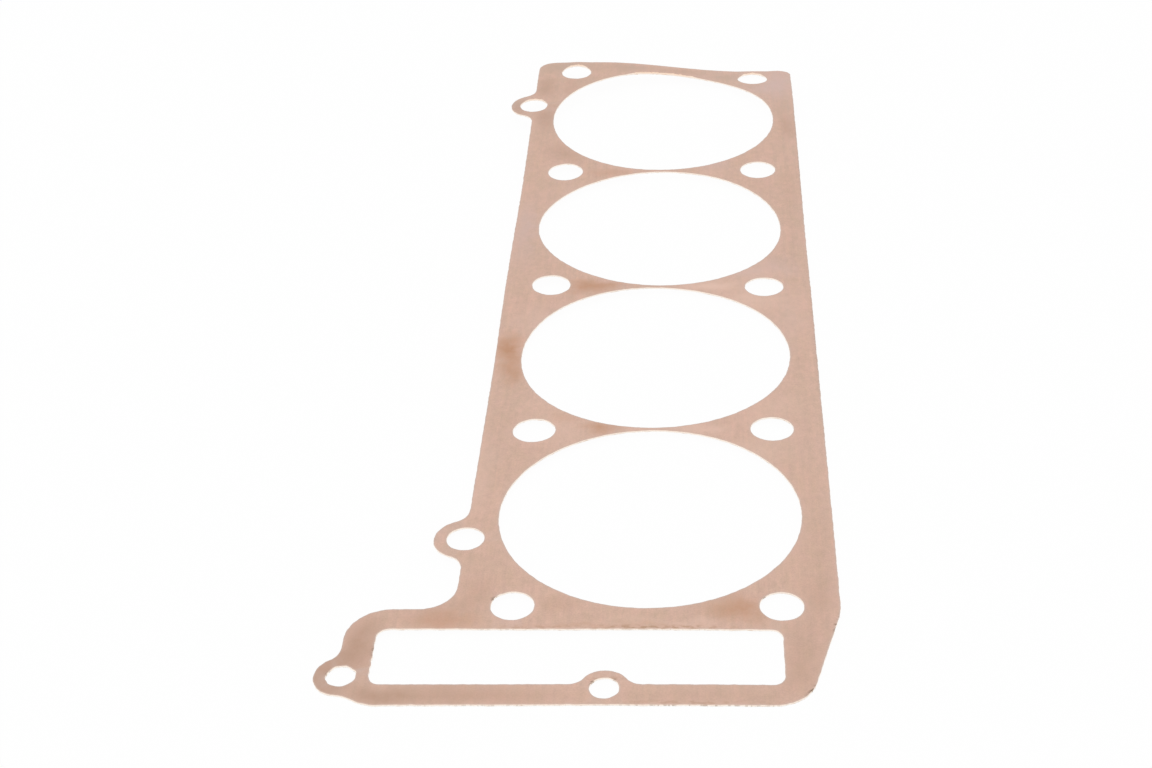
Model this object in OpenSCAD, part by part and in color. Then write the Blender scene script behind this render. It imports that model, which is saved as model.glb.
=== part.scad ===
// Cylinder base gasket for a row of bores with a timing chest at its near end.
// One piece of soft copper sheet, lying flat.
// The bore row runs along Y, the timing chest is at -Y, and the underside is at Z = 0.
// The origin is at the middle of the bore row.

/* [Sheet] */
// Thickness of the copper sheet
sheet_t = 0.5; // [0.2:0.05:2]

/* [Cylinder bores] */
// Number of bores in the row
bores = 4; // [2:1:6]
// Diameter of the hole round each cylinder barrel
bore_d = 80; // [76:0.5:84]
// Width of the web between neighbouring bores
web_w = 1.5; // [1:0.1:6]

/* [Block joint] */
// Width of sheet between the bores and the long sides
side_land = 8; // [7:0.1:14]
// Width of sheet between the last bore and the far end
end_land = 8.8; // [7:0.1:14]
// Radius of the two far corners
end_corner_r = 6; // [2:0.5:8]

/* [Studs] */
// Distance between the two studs of a row
stud_span = 67; // [60:0.5:74]
// Diameter of the stud holes beside the webs
stud_hole_d = 12; // [9:0.1:13]
// Diameter of the stud holes at the two ends of the row
end_stud_hole_d = 11; // [8:0.1:12]
// Distance of the end studs' centres short of the last bore's outer edge
end_stud_in = 1; // [0:0.1:3]

/* [Side lugs] */
// Diameter of the dowel hole in each side lug
lug_hole_d = 10; // [6:0.1:11]
// Width of sheet round the dowel hole
lug_rim = 3.4; // [2.5:0.1:5]
// Distance of the lugs beyond the last bore's centre
lug_out = 11; // [6:0.5:14]
// Radius where a lug runs into the side
lug_fillet_r = 5.5; // [3:0.5:7]

/* [Timing chest] */
// Distance by which the chest stands out beyond the block's left side
chest_out = 26.3; // [22:0.1:50]
// Distance of the opening's right wall inside the block's right side
chest_in = 14.6; // [13:0.1:28]
// Depth of the opening, along the bore row
chest_depth = 20; // [17:0.1:26]
// Width of sheet between the last bore and the opening
chest_land = 8; // [7:0.1:12]
// Radius of the opening's corners
chest_corner_r = 3; // [1:0.1:4]
// Width of the rail left of the opening
left_rail_w = 8; // [6:0.1:12]
// Width of the rail in front of the opening
front_rail_w = 7.1; // [6:0.1:9]
// Width of the shoulder behind the opening's left part
shoulder_w = 7.6; // [5:0.1:9]
// Radius where the block's left side runs into the shoulder
shoulder_fillet_r = 9; // [4:0.5:10]
// Radius of the chest's outer corners
chest_outer_r = 11; // [8:0.5:12]
// Angle by which the right side draws in along the chest
taper_deg = 15; // [5:0.5:20]
// Radius where the right side begins to draw in
taper_r = 20; // [5:1:30]

/* [Chest bolts] */
// Diameter of the two bolt holes in the chest rails
chest_hole_d = 7.2; // [5:0.1:9]
// Distance of the ear's hole inside the left edge
ear_hole_in = 1.3; // [0:0.1:3]
// Distance of the ear's hole from the front edge
ear_hole_up = 10.1; // [8:0.1:12]
// Width of sheet round the ear's hole
ear_rim = 3.1; // [2.5:0.1:4]
// Radius where the ear runs into the left rail
ear_fillet_r = 5; // [3:0.5:6]
// Radius where the ear runs into the front corner
ear_foot_r = 8; // [6:0.5:12]
// Distance of the front rail's hole from the bore row
rail_hole_x = 9.4; // [0:0.1:40]
// Distance of the front rail's hole from the front edge
rail_hole_up = 5.7; // [5:0.1:6.5]
// Width of sheet round the front rail's hole
rail_rim = 2.6; // [2:0.1:4]
// Radius where the boss of that hole runs into the rail
rail_fillet_r = 4; // [2:0.5:6]

/* [Hidden] */

$fn = 96;
copper = [0.82, 0.69, 0.63];
// A cutter or a fillet reaches this far past the edge that it works on
over = 1;
// A fillet beside a boss is cut this much deeper, so that no hairline step is left where they meet
seam = 0.001;
// The sides on which a boss is blended into its edge
upper_side = [1];
both_sides = [-1, 1];

bore_r = bore_d / 2;
bore_pitch = bore_d + web_w;
row_end = (bores - 1) * bore_pitch / 2;
half_w = bore_r + side_land;
far_y = row_end + bore_r + end_land;
end_stud_y = row_end + bore_r - end_stud_in;
lug_y = row_end + lug_out;

chest_back_y = -(row_end + bore_r + chest_land);
chest_front_y = chest_back_y - chest_depth;
shoulder_y = chest_back_y + shoulder_w;
front_y = chest_front_y - front_rail_w;
left_x = -(half_w + chest_out);
chest_left_x = left_x + left_rail_w;
chest_right_x = half_w - chest_in;
front_right_x = half_w - (shoulder_y - front_y) * tan(taper_deg);

lug_r = lug_hole_d / 2 + lug_rim;
rail_hole = [-rail_hole_x, front_y + rail_hole_up];
rail_boss_r = chest_hole_d / 2 + rail_rim;
rail_edge = chest_front_y - rail_hole.y;
ear_hole = [left_x + ear_hole_in, front_y + ear_hole_up];
ear_r = chest_hole_d / 2 + ear_rim;

// The point at distance ra from a and rb from b, on the left going from a to b
function meeting_point(a, ra, b, rb) =
    let (d = norm(b - a))
    let (u = (b - a) / d)
    let (along = (d * d + ra * ra - rb * rb) / (2 * d))
    let (aside = sqrt(ra * ra - along * along))
    a + along * u + aside * [-u.y, u.x];

// The ear runs down into the chest's front left corner.
// These are the centre of that corner's arc, and of the arc that blends the ear into it.
front_left_centre = [left_x, front_y] + chest_outer_r * [1, 1];
ear_foot_centre =
    meeting_point(front_left_centre, chest_outer_r + ear_foot_r, ear_hole, ear_r + ear_foot_r);

// The centre of the arc that rounds a corner.
// a and b are the directions of the two edges that leave the corner.
function arc_centre(corner, a, b, r) =
    corner + r / sin(abs(b - a) / 2) * [cos((a + b) / 2), sin((a + b) / 2)];

// The kite between a corner, the two ends of its arc and the arc's centre
module corner_kite(corner, a, b, r) {
    run = r / tan(abs(b - a) / 2);
    polygon([
        arc_centre(corner, a, b, r),
        corner + run * [cos(b), sin(b)],
        corner - over * [cos((a + b) / 2), sin((a + b) / 2)],
        corner + run * [cos(a), sin(a)]
    ]);
}

module corner_disc(corner, a, b, r) {
    translate(arc_centre(corner, a, b, r)) circle(r);
}

// What is cut away where an outer corner is rounded
module corner_waste(corner, a, b, r) {
    difference() {
        corner_kite(corner, a, b, r);
        corner_disc(corner, a, b, r);
    }
}

// A round boss has its centre at the origin and stands out towards -X.
// It rises from a straight edge that lies the distance back to the left of its centre.
// An arc of radius fillet_r blends it into the edge on a side, 1 above the boss and -1 below it.
// This is the centre of that arc.
function fillet_centre(r, fillet_r, back, side) =
    [-back - fillet_r, side * sqrt(pow(r + fillet_r, 2) - pow(back + fillet_r, 2))];

// The boss, with the ground beside it filled as far as the centre of each fillet
module boss_body(r, fillet_r, back, sides) {
    circle(r);
    for (side = sides) {
        centre = fillet_centre(r, fillet_r, back, side);
        foot = [over - back, centre.y];
        polygon(side > 0 ? [[0, 0], foot, centre] : [[0, 0], centre, foot]);
    }
}

// The discs that are cut from that ground
module boss_discs(r, fillet_r, back, sides) {
    for (side = sides)
        translate(fillet_centre(r, fillet_r, back, side)) circle(fillet_r + seam);
}

module lug_places() {
    for (y = [-lug_y, lug_y])
        translate([-half_w, y]) children();
}

// The ground between the ear and the front left corner
module ear_foot() {
    polygon([ear_hole, ear_foot_centre, front_left_centre]);
}

// The sheet with its lugs and its ear, before any corner is rounded
module rough_outline() {
    polygon([
        [-half_w, far_y],
        [-half_w, shoulder_y],
        [left_x, shoulder_y],
        [left_x, front_y],
        [front_right_x, front_y],
        [half_w, shoulder_y],
        [half_w, far_y]
    ]);
    corner_kite([-half_w, shoulder_y], 90, 180, shoulder_fillet_r);
    lug_places() boss_body(lug_r, lug_fillet_r, 0, both_sides);
    translate(ear_hole) boss_body(ear_r, ear_fillet_r, ear_hole_in, upper_side);
    ear_foot();
}

// The sheet's outer edge, with no holes
module outline() {
    difference() {
        rough_outline();
        corner_waste([-half_w, far_y], -90, 0, end_corner_r);
        corner_waste([half_w, far_y], 180, 270, end_corner_r);
        corner_waste([half_w, shoulder_y], 90, 270 - taper_deg, taper_r);
        corner_waste([front_right_x, front_y], 90 - taper_deg, 180, chest_outer_r);
        corner_waste([left_x, shoulder_y], -90, 0, chest_outer_r);
        difference() {
            corner_waste([left_x, front_y], 0, 90, chest_outer_r);
            translate(ear_hole) circle(ear_r);
            ear_foot();
        }
        translate(ear_foot_centre) circle(ear_foot_r + seam);
        translate(ear_hole) boss_discs(ear_r, ear_fillet_r, ear_hole_in, upper_side);
        lug_places() boss_discs(lug_r, lug_fillet_r, 0, both_sides);
        corner_disc([-half_w, shoulder_y], 90, 180, shoulder_fillet_r);
    }
}

// The boss round the front rail's hole, which stands out into the opening
module rail_boss() {
    translate(rail_hole)
        rotate(-90)
            difference() {
                boss_body(rail_boss_r, rail_fillet_r, rail_edge, both_sides);
                boss_discs(rail_boss_r, rail_fillet_r, rail_edge, both_sides);
            }
}

// The opening over the timing chest
module chest_opening() {
    difference() {
        translate([chest_left_x, chest_front_y])
            square([chest_right_x - chest_left_x, chest_depth]);
        corner_waste([chest_left_x, chest_front_y], 0, 90, chest_corner_r);
        corner_waste([chest_right_x, chest_front_y], 90, 180, chest_corner_r);
        corner_waste([chest_right_x, chest_back_y], 180, 270, chest_corner_r);
        corner_waste([chest_left_x, chest_back_y], -90, 0, chest_corner_r);
        rail_boss();
    }
}

module bore_holes() {
    for (i = [0 : bores - 1])
        translate([0, -row_end + i * bore_pitch]) circle(bore_r);
}

module stud_holes() {
    for (x = [-stud_span / 2, stud_span / 2]) {
        for (i = [1 : bores - 1])
            translate([x, -row_end + (i - 0.5) * bore_pitch]) circle(d = stud_hole_d);
        for (y = [-end_stud_y, end_stud_y])
            translate([x, y]) circle(d = end_stud_hole_d);
    }
}

module lug_holes() {
    lug_places() circle(d = lug_hole_d);
}

module chest_holes() {
    for (p = [ear_hole, rail_hole])
        translate(p) circle(d = chest_hole_d);
}

module gasket() {
    color(copper)
        linear_extrude(sheet_t)
            difference() {
                outline();
                bore_holes();
                stud_holes();
                lug_holes();
                chest_opening();
                chest_holes();
            }
}

gasket();
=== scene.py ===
# Cylinder base gasket: one punched sheet of soft copper, lying on a white table.
import math

import bmesh
import bpy
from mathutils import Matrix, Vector, geometry, kdtree, noise


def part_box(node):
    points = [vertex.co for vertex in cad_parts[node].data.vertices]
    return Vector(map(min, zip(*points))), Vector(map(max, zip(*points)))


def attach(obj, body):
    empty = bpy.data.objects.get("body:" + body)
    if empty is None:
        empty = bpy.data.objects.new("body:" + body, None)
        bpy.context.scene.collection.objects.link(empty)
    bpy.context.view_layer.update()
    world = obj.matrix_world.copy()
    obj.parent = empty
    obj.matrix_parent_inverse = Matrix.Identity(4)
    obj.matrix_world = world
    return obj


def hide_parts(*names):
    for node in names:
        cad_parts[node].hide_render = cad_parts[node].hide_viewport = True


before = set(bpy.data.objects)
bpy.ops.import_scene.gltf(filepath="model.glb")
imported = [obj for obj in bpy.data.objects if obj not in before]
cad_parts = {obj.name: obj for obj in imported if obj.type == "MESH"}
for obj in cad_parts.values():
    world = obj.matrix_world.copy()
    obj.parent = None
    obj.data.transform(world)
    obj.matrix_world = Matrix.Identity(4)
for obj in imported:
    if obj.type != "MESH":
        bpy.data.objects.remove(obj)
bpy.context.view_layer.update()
scene = bpy.context.scene

MM = 0.001
THICKNESS = 0.5 * MM

# Places of the holes, in millimetres from the middle of the bore row
BORE_PITCH = 81.5
STUD_X = 33.5
END_STUD_Y = 161.25
LUG_X = -48
LUG_Y = 133.25

# Round holes of the sheet: centre x, centre y and radius, in millimetres
HOLES = (
    [(0, row * BORE_PITCH, 40) for row in (-1.5, -0.5, 0.5, 1.5)]
    + [(side * STUD_X, row * BORE_PITCH, 6) for side in (-1, 1) for row in (-1, 0, 1)]
    + [(side * STUD_X, end * END_STUD_Y, 5.5) for side in (-1, 1) for end in (-1, 1)]
    + [(LUG_X, end * LUG_Y, 5) for end in (-1, 1)]
    + [(-73, -187.25, 3.6), (-9.4, -191.65, 3.6)]
)

# Where the soft sheet bends as it lies, in millimetres.
# Each bend has its place x and y, its reach, and how far the sheet lifts or dips there.
BENDS = (
    (-15, -142, 127, 1.8),
    (-40, 162, 107, 2.7),
    (-47, 9, 70, 1.8),
    (-78, -164, 59, 0.9),
    (39, 38, 51, -1.3),
    (30, 190, 58, -4.6),
    (-33.5, 166, 8, 0.5),
    (33.5, 166, 8, 0.5),
)
# Rise of the sheet per millimetre to the right and towards its far end
TILT_X = 0.0029
TILT_Y = 0.0095

# The lists of patches that follow are in millimetres.
# Each patch has its place x and y, its reach along x and y, and how strong it is.

# Brown tarnish on the flat sides
BROWN_PATCHES = (
    (-22, -0.5, 9, 5, 1.05),
    (-14, 0.5, 6, 3, 0.6),
    (-45, -36, 5, 8, 1.15),
    (-42.5, -47, 5, 11, 0.8),
    (-43.5, -37.5, 3, 3.5, 0.35),
    (-40, -50, 3, 5, 0.35),
    (-14.5, -80.5, 7, 3.5, 1.0),
    (-24, -75, 5, 3, 0.25),
    (23, -162, 11, 6, 0.95),
    (-50, -168, 11, 5, 0.6),
    (-12, -168.8, 22, 1.5, 0.3),
    (7, 166, 11, 4, 0.2),
    (-17, 80, 12, 3, 0.4),
)

# Dusky, where the sheet has dulled
DUSKY_PATCHES = (
    (-70, -177, 7, 14, 1.15),
    (-77, -187, 7, 10, 2.3),
    (-64, -195, 11, 5, 0.75),
    (-46, -194, 30, 6, 0.7),
    (16, -194, 30, 5, 0.2),
    (36, -188, 8, 6, 0.35),
    (40, -176, 8, 18, 0.35),
    (45, -142, 6, 22, 0.2),
    (42, -157, 6, 9, 0.35),
    (-43, -156, 7, 9, 0.4),
    (-21, -160, 7, 4, 0.35),
    (34, -181, 7, 7, 0.25),
    (-53, -163, 14, 7, 0.45),
    (-30, 93, 8, 7, 0.35),
    (-45, 148, 6, 10, 0.75),
    (-35, 147, 3, 14, 0.4),
    (-42, 124, 6, 12, 0.75),
    (-53, 132, 6, 8, 0.85),
    (-36, 97, 7, 8, 0.45),
    (45.5, 115, 4, 11, 0.65),
    (45, 66, 4, 14, 0.2),
)

# Greyish, under thin tarnish
GREY_PATCHES = (
    (-37, 166, 15, 7, 0.9),
    (-14, 166, 12, 4, 0.7),
    (-29, 154, 6, 6, 0.5),
    (8, 166, 10, 3, 0.3),
    (24, 163, 8, 5, 0.7),
    (-54, 134, 5, 8, 0.6),
    (43, 129, 4, 12, 0.5),
    (-40, 112, 8, 12, 0.3),
)

# Pale and cooler, where the copper is cleanest
PALE_PATCHES = (
    (43, 156, 8, 20, 1.0),
    (34, 150, 7, 8, 0.5),
    (-45, 40, 5, 22, 0.8),
    (-43, 15, 6, 12, 0.25),
    (28, 10, 7, 6, 0.8),
    (37, 13, 8, 8, 0.6),
    (41, -18, 7, 20, 0.25),
    (-38, -20, 8, 10, 0.25),
    (18, 86, 8, 6, 0.6),
)

# Bright and warm
BRIGHT_PATCHES = (
    (15, 0.5, 10, 4, 1.0),
    (21, 1, 9, 5, 0.55),
    (29, -9, 12, 9, 0.9),
    (31, 10, 13, 8, 0.45),
    (12, -81, 9, 3.5, 0.9),
    (19, -82, 5, 3, 0.4),
    (-3, -81.7, 8, 2, 0.6),
    (-46, -97, 5, 16, 0.35),
    (-33, -68, 8, 8, 0.35),
    (29, -92, 11, 9, 0.6),
    (33, -70, 10, 8, 0.5),
    (-26, -82, 10, 11, 0.5),
    (-38, -20, 8, 10, 0.25),
    (-32, 68, 9, 8, 0.25),
    (18, 80, 8, 6, 0.25),
    (41, -65, 6, 12, 0.2),
    (41, -18, 7, 22, 0.3),
    (42, -90, 7, 24, 0.12),
    (11, -168, 9, 2.5, 0.6),
    (-2, -167, 9, 3, 0.35),
    (28, -77, 6, 5, 0.3),
    (-46, -115, 5, 14, 0.35),
)

# Dark nicks along the rims, seen on the flat side and on the wall. Near the holes' upper-left rims they
# are partly painted burr shadows; the long ones along the outer right edge are dark lines.
DARK_NICKS_AND_BURR_SHADOWS = (
    (-38.2, -158.6, 1.2, 1.6, 1.0),
    (29.1, -157.7, 1.0, 1.3, 0.8),
    (-12.4, -189.8, 1.0, 1.3, 1.2),
    (-7.0, -188.6, 0.8, 1.0, 0.6),
    (46.3, -168, 2.0, 5.0, 0.8),
    (39.3, -192, 3.0, 2.5, 0.9),
    (-76.5, -186, 0.9, 1.5, 0.8),
    (-66.6, -178, 0.8, 3.5, 0.6),
    (47.7, -30, 0.8, 60, 0.25),
    (47.7, 90, 0.8, 50, 0.25),
)

# Brown specks along the rims, on the flat side only
RIM_SPECKS = (
    (-2, -169.7, 16, 1.3, 0.9),
    (14, -169.7, 12, 1.2, 0.6),
    (-26, -169.7, 14, 1.2, 0.5),
    (-9.4, -188.4, 6, 1.0, 0.6),
    (12, -196.6, 22, 1.0, 0.5),
)

# Stretches where the punch tore the wall
TORN_PLACES = (
    (12, -197.3, 26, 2, 0.6),
    (-40, -197.3, 26, 2, 0.3),
    (2, -170.3, 26, 2, 0.25),
    (-36, -170.3, 14, 2, 0.25),
)

# Stretches where the punch left a bright burr standing on the upper rim, in millimetres.
# Each has its place x and y, its reach along x and y, and its height.
STANDING_BURRS = (
    (-1, 162.2, 25, 3, 0.5),
    (-33.5, 166.7, 6, 2.5, 0.4),
    (33.5, 166.7, 6, 2.5, 0.4),
    (-48, 138.2, 5.5, 2.5, 0.3),
)
# Length of the teeth along a standing burr
BURR_WAVE = 1.1 * MM
# Its usual height and how far its teeth swing, as shares of the height in the list
BURR_LEVEL = 0.85
BURR_TEETH = 0.6
# How steeply it rises at its ends
BURR_END_SLOPE = 2.5

# Places where the punch was dull and the edge wanders more, in millimetres.
# Each has its place x and y, its reach, and how many times as much is added.
ROUGH_PLACES = (
    (-73, -187.25, 7, 2.2),
    (-66, -182, 8, 1.8),
    (-38, -158, 7, 1.2),
    (-9.4, -191.65, 7, 0.4),
)
# How far the punched edge wanders in and out, and the length of its waves
RAGGED = 0.11 * MM
RAGGED_WAVE = 1.7 * MM
# Finer nibbles: how many to a wave, and their share of the wander at the upper and the lower rim
NIBBLES = 2.3
UPPER_NIBBLES = 0.5
LOWER_NIBBLES = 0.8
# The number that picks this sheet's own ragged edge
RAGGED_SEED = 4

# Width and depth of the shallow roll that the punch drew into the upper rim
ROLL_WIDTH = 0.45 * MM
ROLL_DEPTH = 0.03 * MM
# Rounding of the upper and the lower rim
UPPER_ROUND = 0.09 * MM
LOWER_ROUND = 0.04 * MM
# How far the lighter strip along a rim, a painted highlight, reaches in from it
RIM_REACH = 1.6 * MM

# Longest straight step along a punched edge
EDGE_STEP = 0.6 * MM
# Distance between the points of the mesh across the sheet, and the least from them to an edge
GRID_STEP = 3 * MM
EDGE_GAP = 0.5 * GRID_STEP
# The kind of fill that keeps within the outlines
INSIDE_OUTLINES = 1
# Points closer together than this are one
SAME_POINT = 0.001 * MM
# A point this near to a hole's circle belongs on it
NEAR_CIRCLE = 0.06 * MM
# A face whose normal is more upright than this belongs to a flat side
UPRIGHT = 0.9
# Edges that turn by more than this are shaded as sharp
SHARP_TURN = math.radians(50)

# Kinds of edges, by the faces beside them: True for a flat face, False for a wall
OPEN_WALL = [False]
RIM = [False, True]

# Most of a grain's values lie between these two
GRAIN_LOW = 0.3
GRAIN_HIGH = 0.7
# The sum of patches at which their colour is full
FULL_PATCH = 1.2

# Light of the room on the sheet, and how much of the table is seen as plain white
ROOM_LIGHT = 0.9
TABLE_WHITE = 0.97
# The table lies this far under the sheet
TABLE_GAP = 0.02 * MM


def make_active(piece):
    bpy.ops.object.select_all(action="DESELECT")
    piece.select_set(True)
    bpy.context.view_layer.objects.active = piece


def open_to_edit(piece, kind):
    """Open the piece in edit mode with nothing selected. kind is VERT, EDGE or FACE."""
    make_active(piece)
    bpy.ops.object.mode_set(mode="EDIT")
    bpy.ops.mesh.select_mode(type=kind)
    bpy.ops.mesh.select_all(action="DESELECT")


def stop_editing():
    bpy.ops.object.mode_set(mode="OBJECT")


def is_flat(face):
    return abs(face.normal.z) > UPRIGHT


def edges_between(mesh, kinds):
    """The edges whose faces are of these kinds, in any order."""
    beside = {}
    for face in mesh.polygons:
        for key in face.edge_keys:
            beside.setdefault(key, []).append(is_flat(face))
    return [edge for edge in mesh.edges if sorted(beside[edge.key]) == kinds]


def select_edges(piece, kinds, wanted):
    """Open the piece with the wanted edges of these kinds selected, and count them."""
    open_to_edit(piece, "EDGE")
    stop_editing()
    found = 0
    for edge in edges_between(piece.data, kinds):
        a, b = (piece.data.vertices[i].co for i in edge.vertices)
        if wanted(a, b):
            edge.select = True
            found += 1
    bpy.ops.object.mode_set(mode="EDIT")
    return found


def is_upper(a, b):
    return min(a.z, b.z) > THICKNESS / 2


def is_lower(a, b):
    return max(a.z, b.z) < THICKNESS / 2


def select_faces(piece, wanted):
    open_to_edit(piece, "FACE")
    stop_editing()
    for face in piece.data.polygons:
        face.select = wanted(face)
    bpy.ops.object.mode_set(mode="EDIT")


def points_of_the_wall(mesh):
    """The numbers of all points on the wall, in order."""
    return sorted({i for face in mesh.polygons if not is_flat(face) for i in face.vertices})


def copy_the_sheet():
    """Copy the flat sheet's mesh and join its loose triangles."""
    sheet = bpy.data.objects.new("copper_gasket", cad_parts["gasket"].data.copy())
    scene.collection.objects.link(sheet)
    sheet.data.materials.clear()
    open_to_edit(sheet, "VERT")
    bpy.ops.mesh.select_all(action="SELECT")
    bpy.ops.mesh.customdata_custom_splitnormals_clear()
    bpy.ops.mesh.remove_doubles(threshold=SAME_POINT)
    stop_editing()
    return sheet


def open_both_sides(sheet):
    """Take the flat sides off, so that only the wall round every edge is left."""
    select_faces(sheet, is_flat)
    bpy.ops.mesh.delete(type="FACE")
    bpy.ops.mesh.select_all(action="SELECT")
    bpy.ops.mesh.tris_convert_to_quads()
    stop_editing()


def refine_the_edges(sheet):
    """Halve the steps along every rim until they are short."""
    while select_edges(sheet, OPEN_WALL, lambda a, b: (a - b).length > EDGE_STEP):
        bpy.ops.mesh.subdivide(number_cuts=1)
        stop_editing()
    stop_editing()


def round_the_holes(sheet):
    """Put the points round each hole on its true circle."""
    for vertex in sheet.data.vertices:
        for x, y, r in HOLES:
            centre = Vector((x * MM, y * MM, vertex.co.z))
            away = vertex.co - centre
            if abs(away.length - r * MM) < NEAR_CIRCLE:
                vertex.co = centre + away.normalized() * r * MM


def draw_in_the_rims(sheet):
    """Run a narrow band inwards from the wall's upper and lower rim, along the flat sides."""
    outwards = {}
    for face in sheet.data.polygons:
        for i in face.vertices:
            outwards[i] = outwards.get(i, Vector((0, 0, 0))) + face.normal
    select_edges(sheet, OPEN_WALL, lambda a, b: True)
    bpy.ops.mesh.extrude_edges_move()
    stop_editing()
    vertices = sheet.data.vertices
    for edge in sheet.data.edges:
        a, b = edge.vertices
        if vertices[a].select == vertices[b].select:
            continue
        new, old = (a, b) if vertices[a].select else (b, a)
        vertices[new].co = vertices[old].co - outwards[old].normalized() * ROLL_WIDTH


def loops_of(edges):
    """The closed loops that these edges make, each as its corners in order, turning to the left."""
    beside = {}
    for edge in edges:
        a, b = edge.verts
        beside.setdefault(a, []).append(b)
        beside.setdefault(b, []).append(a)
    loops = []
    while beside:
        corner = next(iter(beside))
        loop = []
        while corner in beside:
            loop.append(corner)
            first, second = beside.pop(corner)
            corner = first if first in beside else second
        turn = sum(a.co.x * b.co.y - b.co.x * a.co.y for a, b in zip(loop, loop[1:] + loop[:1]))
        loops.append(loop if turn > 0 else loop[::-1])
    return loops


def even_points(corners):
    """Points in even rows over the sheet's box, none of them close to one of the corners."""
    low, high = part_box("gasket")
    near = kdtree.KDTree(len(corners))
    for i, corner in enumerate(corners):
        near.insert((corner.co.x, corner.co.y, 0), i)
    near.balance()
    points = []
    for row in range(math.ceil((high[1] - low[1]) / GRID_STEP)):
        for column in range(math.ceil((high[0] - low[0]) / GRID_STEP)):
            x = low[0] + (column + 0.5 * (row % 2)) * GRID_STEP
            y = low[1] + row * GRID_STEP
            if near.find((x, y, 0))[2] > EDGE_GAP:
                points.append(Vector((x, y)))
    return points


def fill_side(shell, upper):
    """Fill the upper or the lower side with even triangles between the loops of its open edges."""
    loops = loops_of(
        edge for edge in shell.edges
        if edge.is_boundary and (edge.verts[0].co.z > THICKNESS / 2) == upper
    )
    corners = [corner for loop in loops for corner in loop]
    number = {corner: i for i, corner in enumerate(corners)}
    outlines = [[number[corner] for corner in loop] for loop in loops]
    places = [corner.co.xy for corner in corners] + even_points(corners)
    filled = geometry.delaunay_2d_cdt(places, [], outlines, INSIDE_OUTLINES, SAME_POINT)
    triangles, source, covers = filled[2], filled[3], filled[5]
    kept = []
    for triangle, cover in zip(triangles, covers):
        # A triangle that one outline covers is copper, and in a hole there are two
        if len(cover) == 1:
            a, b, c = (source[i][0] for i in triangle)
            kept.append(min((a, b, c), (b, c, a), (c, a, b)))
    points = dict(enumerate(corners))
    for i in sorted({i for triangle in kept for i in triangle} - set(points)):
        points[i] = shell.verts.new((*places[i], THICKNESS if upper else 0))
    for triangle in sorted(kept):
        around = [points[i] for i in triangle]
        shell.faces.new(around if upper else around[::-1])


def close_both_sides(sheet):
    """Close the sheet's flat sides with a mesh that is even enough to bend."""
    shell = bmesh.new()
    shell.from_mesh(sheet.data)
    fill_side(shell, True)
    fill_side(shell, False)
    shell.to_mesh(sheet.data)
    shell.free()
    open_to_edit(sheet, "FACE")
    bpy.ops.mesh.select_all(action="SELECT")
    bpy.ops.mesh.normals_make_consistent(inside=False)
    stop_editing()


def roughness_at(x, y):
    """How many times as much as usual the punched edge wanders at a place, in millimetres."""
    rough = 1.0
    for rough_x, rough_y, reach, more in ROUGH_PLACES:
        rough += more * max(0.0, 1 - math.hypot(x - rough_x, y - rough_y) / reach)
    return rough


def wear_the_edges(sheet):
    """Let every punched edge wander a little, and more at its torn lower rim."""
    noise.seed_set(RAGGED_SEED)
    for i in points_of_the_wall(sheet.data):
        vertex = sheet.data.vertices[i]
        upper = vertex.co.z > THICKNESS / 2
        place = Vector((vertex.co.x, vertex.co.y, 0))
        shift = noise.noise_vector(place / RAGGED_WAVE) * RAGGED
        # Each rim has nibbles of its own
        apart = Vector((5, 0, 0 if upper else 9))
        nibbles = noise.noise_vector(place / RAGGED_WAVE * NIBBLES + apart)
        shift += nibbles * RAGGED * (UPPER_NIBBLES if upper else LOWER_NIBBLES)
        shift *= roughness_at(vertex.co.x / MM, vertex.co.y / MM)
        vertex.co.x += shift.x
        vertex.co.y += shift.y


def roll_the_rims(sheet):
    """Draw the upper rim down in a shallow roll, and round both rims."""
    select_edges(sheet, RIM, is_upper)
    bpy.ops.transform.translate(value=(0, 0, -ROLL_DEPTH))
    bpy.ops.mesh.bevel(offset=UPPER_ROUND, segments=3, clamp_overlap=False)
    stop_editing()
    select_edges(sheet, RIM, is_lower)
    bpy.ops.mesh.bevel(offset=LOWER_ROUND, segments=2, clamp_overlap=False)
    stop_editing()


def note_rim_and_depth(sheet):
    """Keep two numbers at each point: how near it is to a rim, and how far down the wall."""
    vertices = sheet.data.vertices
    at_wall = points_of_the_wall(sheet.data)
    walls = kdtree.KDTree(len(at_wall))
    for i in at_wall:
        walls.insert(vertices[i].co, i)
    walls.balance()
    rim = sheet.data.attributes.new("rim", "FLOAT", "POINT")
    depth = sheet.data.attributes.new("depth", "FLOAT", "POINT")
    for i, vertex in enumerate(vertices):
        away = walls.find(vertex.co)[2]
        rim.data[i].value = max(0.0, 1 - away / RIM_REACH)
        depth.data[i].value = 1 - vertex.co.z / THICKNESS


def burr_height(x, y):
    """How far a burr stands up from the upper rim at a place, in millimetres."""
    height = 0.0
    for burr_x, burr_y, reach_x, reach_y, most in STANDING_BURRS:
        near = 1 - math.hypot((x - burr_x) / reach_x, (y - burr_y) / reach_y)
        height += most * min(1.0, max(0.0, BURR_END_SLOPE * near))
    return height


def raise_the_burrs(sheet):
    """Pull the upper rim up into a low uneven burr, where the punch tore the copper."""
    rim = sheet.data.attributes["rim"]
    for i, vertex in enumerate(sheet.data.vertices):
        away = (1 - rim.data[i].value) * RIM_REACH
        if vertex.co.z > THICKNESS / 2 and away < ROLL_WIDTH:
            place = Vector((vertex.co.x, vertex.co.y, 0))
            teeth = BURR_LEVEL + BURR_TEETH * noise.noise(place / BURR_WAVE)
            height = burr_height(vertex.co.x / MM, vertex.co.y / MM) * teeth * MM
            vertex.co.z += height * (1 - away / ROLL_WIDTH)


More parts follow.
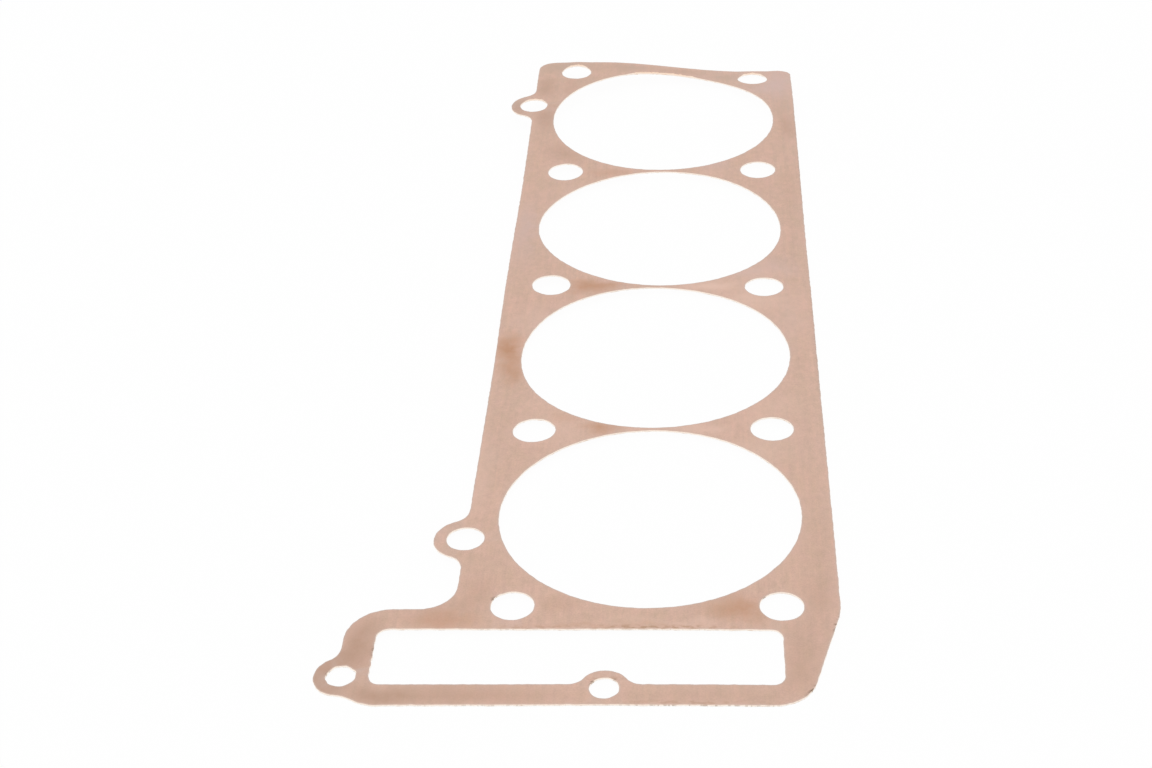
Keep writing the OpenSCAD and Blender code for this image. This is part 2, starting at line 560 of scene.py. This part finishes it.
def rise(x, y):
    """How high the sheet's underside lies at a place, in millimetres."""
    height = TILT_X * x + TILT_Y * y
    for bend_x, bend_y, reach, lift in BENDS:
        near = max(0.0, 1 - math.hypot(x - bend_x, y - bend_y) / reach)
        height += lift * near * near * (3 - 2 * near)
    return height


def bend_the_sheet(sheet):
    """Lay the sheet down with the soft bends of copper that has been handled."""
    for vertex in sheet.data.vertices:
        vertex.co.z += rise(vertex.co.x / MM, vertex.co.y / MM) * MM
    lowest = min(vertex.co.z for vertex in sheet.data.vertices)
    for vertex in sheet.data.vertices:
        vertex.co.z -= lowest


def shade(sheet):
    make_active(sheet)
    bpy.ops.object.shade_smooth_by_angle(angle=SHARP_TURN)
    sheet.modifiers.new("even_shading", "WEIGHTED_NORMAL").keep_sharp = True
    bpy.ops.object.modifier_apply(modifier="even_shading")


def node(tree, kind, inputs=(), **settings):
    """Add a node. inputs gives its input values or links by name or number."""
    made = tree.nodes.new(kind)
    for name, value in settings.items():
        setattr(made, name, value)
    for name, value in dict(inputs).items():
        if isinstance(value, bpy.types.NodeSocket):
            tree.links.new(value, made.inputs[name])
        else:
            made.inputs[name].default_value = value
    return made


def plus(tree, a, b):
    return node(tree, "ShaderNodeMath", {0: a, 1: b}, operation="ADD").outputs[0]


def times(tree, a, b):
    return node(tree, "ShaderNodeMath", {0: a, 1: b}, operation="MULTIPLY").outputs[0]


def remap(tree, value, low, high, to_low=0.0, to_high=1.0, smooth=False):
    """Turn low to high into to_low to to_high, and go no further at either end."""
    settings = {"interpolation_type": "SMOOTHSTEP"} if smooth else {}
    inputs = {"Value": value, "From Min": low, "From Max": high, "To Min": to_low, "To Max": to_high}
    return node(tree, "ShaderNodeMapRange", inputs, **settings).outputs["Result"]


def vary(tree, level, patterns):
    """Let a level swing up and down with each pattern, by the depth beside it."""
    for pattern, depth in patterns:
        level = plus(tree, level, remap(tree, pattern, GRAIN_LOW, GRAIN_HIGH, -depth, depth))
    return level


def blend(tree, share, first, second, blend_type="MIX"):
    inputs = {0: share, 6: first, 7: second}
    return node(tree, "ShaderNodeMix", inputs, data_type="RGBA", blend_type=blend_type).outputs[2]


def vector_maths(tree, operation, a, b=(0, 0, 0)):
    return node(tree, "ShaderNodeVectorMath", {0: a, 1: b}, operation=operation)


def new_group(name, inputs, output):
    """A node group with these inputs and one number that it puts out. Gives it and its inputs."""
    group = bpy.data.node_groups.new(name, "ShaderNodeTree")
    for socket, kind in inputs:
        group.interface.new_socket(socket, in_out="INPUT", socket_type=kind)
    group.interface.new_socket(output, in_out="OUTPUT", socket_type="NodeSocketFloat")
    return group, group.nodes.new("NodeGroupInput").outputs


def make_patch_group():
    """A node group for one soft patch, fading to 0 a little beyond its reach."""
    group, given = new_group(
        "soft_patch",
        [
            ("Place", "NodeSocketVector"),
            ("Centre", "NodeSocketVector"),
            ("Reach", "NodeSocketVector"),
            ("Strength", "NodeSocketFloat"),
        ],
        "Patch",
    )
    apart = vector_maths(group, "SUBTRACT", given["Place"], given["Centre"]).outputs[0]
    scaled = vector_maths(group, "DIVIDE", apart, given["Reach"]).outputs[0]
    flat = vector_maths(group, "MULTIPLY", scaled, (1, 1, 0)).outputs[0]
    away = vector_maths(group, "LENGTH", flat).outputs["Value"]
    inside = remap(group, away, 1.3, 0.0, smooth=True)
    node(group, "NodeGroupOutput", {"Patch": times(group, inside, given["Strength"])})


def make_grain_group():
    """A node group for a grain from 0 to 1. Stretch is the number of its waves per metre."""
    group, given = new_group(
        "copper_grain",
        [
            ("Place", "NodeSocketVector"),
            ("Stretch", "NodeSocketVector"),
            ("Offset", "NodeSocketVector"),
            ("Detail", "NodeSocketFloat"),
            ("Roughness", "NodeSocketFloat"),
        ],
        "Grain",
    )
    inputs = {"Vector": given["Place"], "Location": given["Offset"], "Scale": given["Stretch"]}
    spread = node(group, "ShaderNodeMapping", inputs).outputs[0]
    inputs = {"Vector": spread, "Scale": 1.0, "Detail": given["Detail"], "Roughness": given["Roughness"]}
    node(group, "NodeGroupOutput", {"Grain": node(group, "ShaderNodeTexNoise", inputs).outputs[0]})


def patches(tree, place, places):
    """The sum of the patches in a list, 0 where the copper is plain."""
    total = 0.0
    for x, y, reach_x, reach_y, strength in places:
        inputs = {
            "Place": place,
            "Centre": (x * MM, y * MM, 0),
            "Reach": (reach_x * MM, reach_y * MM, 1),
            "Strength": strength,
        }
        patch = node(tree, "ShaderNodeGroup", inputs, node_tree=bpy.data.node_groups["soft_patch"])
        total = plus(tree, total, patch.outputs["Patch"])
    return total


def grain(tree, where, stretch, detail=2.0, roughness=0.5, offset=(0, 0, 0)):
    inputs = {
        "Place": where,
        "Stretch": stretch,
        "Offset": offset,
        "Detail": detail,
        "Roughness": roughness,
    }
    made = node(tree, "ShaderNodeGroup", inputs, node_tree=bpy.data.node_groups["copper_grain"])
    return made.outputs["Grain"]


def wavering_place(tree, where):
    """The place on the sheet, wavering a few millimetres, so that patches get uneven edges."""
    waver = node(tree, "ShaderNodeTexNoise", {"Vector": where, "Scale": 170.0, "Detail": 4.0})
    pull = vector_maths(tree, "SUBTRACT", waver.outputs["Color"], (0.5, 0.5, 0.5)).outputs[0]
    inputs = {0: pull, "Scale": 8 * MM}
    pull = node(tree, "ShaderNodeVectorMath", inputs, operation="SCALE").outputs[0]
    return vector_maths(tree, "ADD", where, pull).outputs[0]


def new_copper(name):
    """A material, its tree, its shader and the place on the sheet."""
    material = bpy.data.materials.new(name)
    material.use_nodes = True
    tree = material.node_tree
    skin = tree.nodes["Principled BSDF"]
    skin.inputs["Metallic"].default_value = 1
    return material, tree, skin, node(tree, "ShaderNodeTexCoord").outputs["Object"]


def bare_copper(tree, where, patterns):
    """Olive and pink blotches with flecks, lighter and darker with each pattern."""
    olive = (0.616, 0.438, 0.338, 1)
    pink = (0.673, 0.454, 0.372, 1)
    blotches = grain(tree, where, (150, 75, 150), 4.0, 0.65)
    flecks = grain(tree, where, (560, 250, 560), 2.0, 0.5, offset=(2, 6, 5))
    hue = remap(tree, blotches, GRAIN_LOW, GRAIN_HIGH, 0.2, 0.8)
    copper = blend(tree, vary(tree, hue, ((flecks, 0.26),)), olive, pink)
    tone = vary(tree, 1.0, patterns)
    shadow = node(tree, "ShaderNodeCombineColor", {0: tone, 1: tone, 2: tone}).outputs[0]
    return blend(tree, 1.0, copper, shadow, "MULTIPLY")


def lay_the_patches(tree, where, copper, uneven):
    """Lay each list of patches over the copper. Gives the colour and the share of brown tarnish."""
    brown = (0.552, 0.316, 0.198, 1)
    dusky = (0.470, 0.305, 0.223, 1)
    grey = (0.500, 0.385, 0.300, 1)
    pale = (0.640, 0.480, 0.452, 1)
    light = (0.770, 0.550, 0.455, 1)
    place = wavering_place(tree, where)
    for places, colour, most in (
        (PALE_PATCHES, pale, 0.75),
        (BRIGHT_PATCHES, light, 0.85),
        (GREY_PATCHES, grey, 0.8),
        (DUSKY_PATCHES, dusky, 0.8),
        (BROWN_PATCHES, brown, 0.85),
    ):
        share = times(tree, patches(tree, place, places), uneven)
        share = remap(tree, share, 0.0, FULL_PATCH, 0.0, most)
        copper = blend(tree, share, copper, colour)
    return copper, share


def mark_the_rims(tree, where, copper):
    """Paint a lighter strip along each rim as a painted highlight, lighten the roll to a greyer tint,
    and add specks and dark nicks, some of them painted burr shadows.
    """
    rim_highlight = (0.740, 0.530, 0.450, 1)
    rolled = (0.600, 0.500, 0.460, 1)
    speck = (0.460, 0.285, 0.185, 1)
    nick_and_shadow = (0.230, 0.150, 0.100, 1)
    rim = node(tree, "ShaderNodeAttribute", attribute_name="rim").outputs["Fac"]
    # Painted highlight: a lighter strip along each rim, where the rolled edge catches the light
    copper = blend(tree, times(tree, rim, 0.2), copper, rim_highlight)
    copper = blend(tree, remap(tree, rim, 0.7, 1.0, 0.0, 0.6), copper, rolled)

    specks = remap(tree, grain(tree, where, (500, 1000, 500), 2.0, 0.6, offset=(4, 4, 0)), 0.47, 0.6)
    specks = times(tree, patches(tree, where, RIM_SPECKS), specks)
    copper = blend(tree, remap(tree, specks, 0.0, 1.0, 0.0, 0.8), copper, speck)

    crumbs = remap(tree, grain(tree, where, (800, 1500, 1500), 1.0, 0.5), 0.42, 0.6)
    # Dark nicks, partly painted shade: the shadows that burrs cast at the upper-left rims of holes
    nicks_and_shadows = times(tree, patches(tree, where, DARK_NICKS_AND_BURR_SHADOWS), crumbs)
    nicks_and_shadows = times(tree, nicks_and_shadows, remap(tree, rim, 0.6, 0.9))
    return blend(tree, remap(tree, nicks_and_shadows, 0.0, 1.0), copper, nick_and_shadow)


def copper_face():
    """The flat sides: matt annealed copper with soft blotches, faint rolling lines and tarnish."""
    material, tree, skin, where = new_copper("annealed_copper")
    lines = grain(tree, where, (950, 14, 950), 3.0, 0.6)
    clouds = grain(tree, where, (90, 60, 90), 3.0, 0.6, offset=(7, 3, 1))
    mottle = grain(tree, where, (620, 420, 620), 2.0, 0.6, offset=(1, 8, 2))
    speckle = grain(tree, where, (2600, 2600, 2600), 2.0, 0.6)

    tones = ((lines, 0.05), (clouds, 0.03), (mottle, 0.05), (speckle, 0.065))
    copper = bare_copper(tree, where, tones)
    uneven = remap(tree, mottle, 0.3, 0.65, 0.8, 1.0)
    copper, tarnish = lay_the_patches(tree, where, copper, uneven)
    copper = mark_the_rims(tree, where, copper)
    tree.links.new(copper, skin.inputs["Base Color"])

    rough = vary(tree, 0.5, ((lines, 0.05), (clouds, 0.05), (mottle, 0.03)))
    rough = plus(tree, rough, times(tree, tarnish, 0.12))
    tree.links.new(rough, skin.inputs["Roughness"])

    height = plus(tree, times(tree, lines, 0.6), times(tree, speckle, 0.4))
    bump = node(tree, "ShaderNodeBump", {"Strength": 0.25, "Distance": 0.03 * MM, "Height": height})
    tree.links.new(bump.outputs[0], skin.inputs["Normal"])
    return material


def copper_edge():
    """The punched wall: burnished, and painted nearly white lower down as a painted reflection of the
    white room, with torn dashes along its lower rim.
    """
    material, tree, skin, where = new_copper("punched_copper_edge")
    upper = (0.970, 0.780, 0.630, 1)
    # Painted reflection: the wall's colour goes nearly white lower down, standing in for the white room
    # that it mirrors
    white_reflection = (1.000, 0.920, 0.840, 1)
    torn = (0.850, 0.680, 0.550, 1)
    fresh_copper_and_highlight = (0.990, 0.720, 0.530, 1)
    nick_and_shadow = (0.420, 0.290, 0.200, 1)
    depth = node(tree, "ShaderNodeAttribute", attribute_name="depth").outputs["Fac"]
    copper = blend(tree, remap(tree, depth, 0.1, 0.45), upper, white_reflection)

    waver = grain(tree, where, (500, 500, 500), 3.0, 0.6)
    band = remap(tree, vary(tree, depth, ((waver, 0.35),)), 0.62, 0.9, smooth=True)
    dashes = remap(tree, grain(tree, where, (330, 330, 60), 2.0, 0.5, offset=(3, 1, 4)), 0.5, 0.6)
    copper = blend(tree, times(tree, band, dashes), copper, torn)

    # The higher a burr stands, the more of its fresh copper shows; this orange is partly a painted
    # highlight on the burr
    standing = remap(tree, patches(tree, where, STANDING_BURRS), 0.0, 0.4, 0.0, 0.9)
    standing = times(tree, standing, remap(tree, depth, 0.2, 1.0, 1.0, 0.0))
    copper = blend(tree, standing, copper, fresh_copper_and_highlight)

    crumbs = remap(tree, grain(tree, where, (800, 800, 60), 2.0, 0.6, offset=(6, 2, 9)), 0.5, 0.56)
    # Dark nicks and torn dashes on the wall; the nicks are partly painted burr shadows
    nicks_and_shadows = times(tree, patches(tree, where, DARK_NICKS_AND_BURR_SHADOWS + TORN_PLACES), crumbs)
    copper = blend(tree, remap(tree, nicks_and_shadows, 0.0, 1.0), copper, nick_and_shadow)
    tree.links.new(copper, skin.inputs["Base Color"])
    tree.links.new(remap(tree, band, 0.0, 1.0, 0.28, 0.5), skin.inputs["Roughness"])

    scratches = grain(tree, where, (2200, 2200, 300), 3.0, 0.6)
    bump = node(tree, "ShaderNodeBump", {"Strength": 0.4, "Distance": 0.04 * MM, "Height": scratches})
    tree.links.new(bump.outputs[0], skin.inputs["Normal"])
    return material


def dress(sheet):
    make_patch_group()
    make_grain_group()
    sheet.data.materials.append(copper_face())
    sheet.data.materials.append(copper_edge())
    for face in sheet.data.polygons:
        face.material_index = 0 if is_flat(face) else 1


def white_to_the_eye(tree):
    """1 for rays from the camera and for reflected and refracted rays, 0 for the others."""
    rays = node(tree, "ShaderNodeLightPath").outputs
    seen = plus(tree, rays["Is Camera Ray"], rays["Is Glossy Ray"])
    inputs = {0: seen, 1: rays["Is Transmission Ray"]}
    return node(tree, "ShaderNodeMath", inputs, operation="ADD", use_clamp=True).outputs[0]


def white_table():
    bpy.ops.mesh.primitive_plane_add(size=6, location=(0, 0, -TABLE_GAP))
    table = bpy.context.object
    table.name = "table"
    material = bpy.data.materials.new("white_table")
    material.use_nodes = True
    tree = material.node_tree
    tree.nodes.clear()
    matt = node(tree, "ShaderNodeBsdfDiffuse", {"Color": (0.9, 0.9, 0.9, 1)})
    white = node(tree, "ShaderNodeEmission", {"Strength": 1.0})
    share = times(tree, white_to_the_eye(tree), TABLE_WHITE)
    mix = node(tree, "ShaderNodeMixShader", {0: share, 1: matt.outputs[0], 2: white.outputs[0]})
    node(tree, "ShaderNodeOutputMaterial", {"Surface": mix.outputs[0]})
    table.data.materials.append(material)


def studio():
    """A white room with one large soft lamp above the table."""
    world = bpy.data.worlds.new("white_studio")
    scene.world = world
    world.use_nodes = True
    tree = world.node_tree
    ground = tree.nodes["Background"]
    ground.inputs["Color"].default_value = (1, 1, 1, 1)
    level = remap(tree, white_to_the_eye(tree), 0.0, 1.0, ROOM_LIGHT, 1.0)
    tree.links.new(level, ground.inputs["Strength"])
    bpy.ops.object.light_add(
        type="AREA", location=(-0.35, -0.25, 1.3), rotation=(math.radians(11), math.radians(-15), 0)
    )
    lamp = bpy.context.object.data
    lamp.shape = "DISK"
    lamp.size = 1.2
    lamp.energy = 1.5
    scene.view_settings.view_transform = "Standard"


def camera():
    bpy.ops.object.camera_add(
        location=(0.016078, -0.562163, 0.317029),
        rotation=[math.radians(turn) for turn in (58.0614, 2.4269, 2.8970)],
    )
    scene.camera = bpy.context.object
    scene.camera.data.lens = 63.76
    scene.camera.data.clip_start = 0.01


camera()
gasket = copy_the_sheet()
open_both_sides(gasket)
refine_the_edges(gasket)
round_the_holes(gasket)
draw_in_the_rims(gasket)
close_both_sides(gasket)
wear_the_edges(gasket)
roll_the_rims(gasket)
dress(gasket)
note_rim_and_depth(gasket)
raise_the_burrs(gasket)
bend_the_sheet(gasket)
shade(gasket)
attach(gasket, "root")
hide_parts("gasket")
white_table()
studio()
